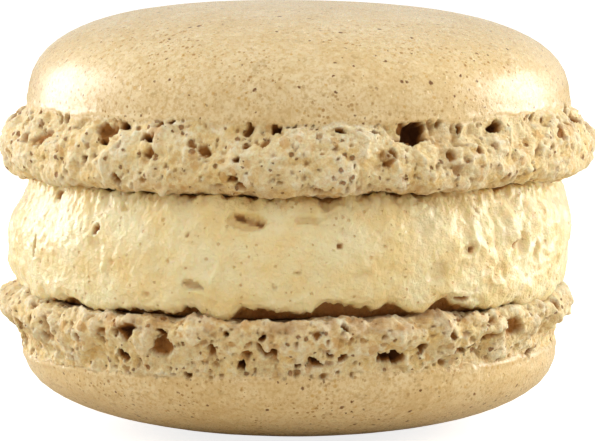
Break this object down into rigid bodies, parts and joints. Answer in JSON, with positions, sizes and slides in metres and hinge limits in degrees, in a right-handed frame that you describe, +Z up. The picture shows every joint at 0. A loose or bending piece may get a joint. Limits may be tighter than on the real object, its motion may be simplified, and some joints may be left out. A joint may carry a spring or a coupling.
{
  "type": "french macaron",
  "caption": "Round filled meringue biscuit: two domed almond shells, each with a ruffled crumbly foot, and a thick band of piped buttercream between them.",
  "frame": {"origin": "centre of the small flat spot under the lower shell's dome, in the middle of the box seen from above", "axes": "+Z up through both shells, -Y towards the viewer, +X to the viewer's right"},
  "size_m": [0.0442, 0.044, 0.0315],
  "materials": {
    "almond_shell": "baked almond meringue with vanilla specks: satin smooth dome, matt crumbly foot",
    "buttercream": "soft cream, satin, with small air holes"
  },
  "bodies": {
    "root": {"bottom_shell": "almond_shell", "filling": "buttercream", "top_shell": "almond_shell"}
  },
  "joints": []
}
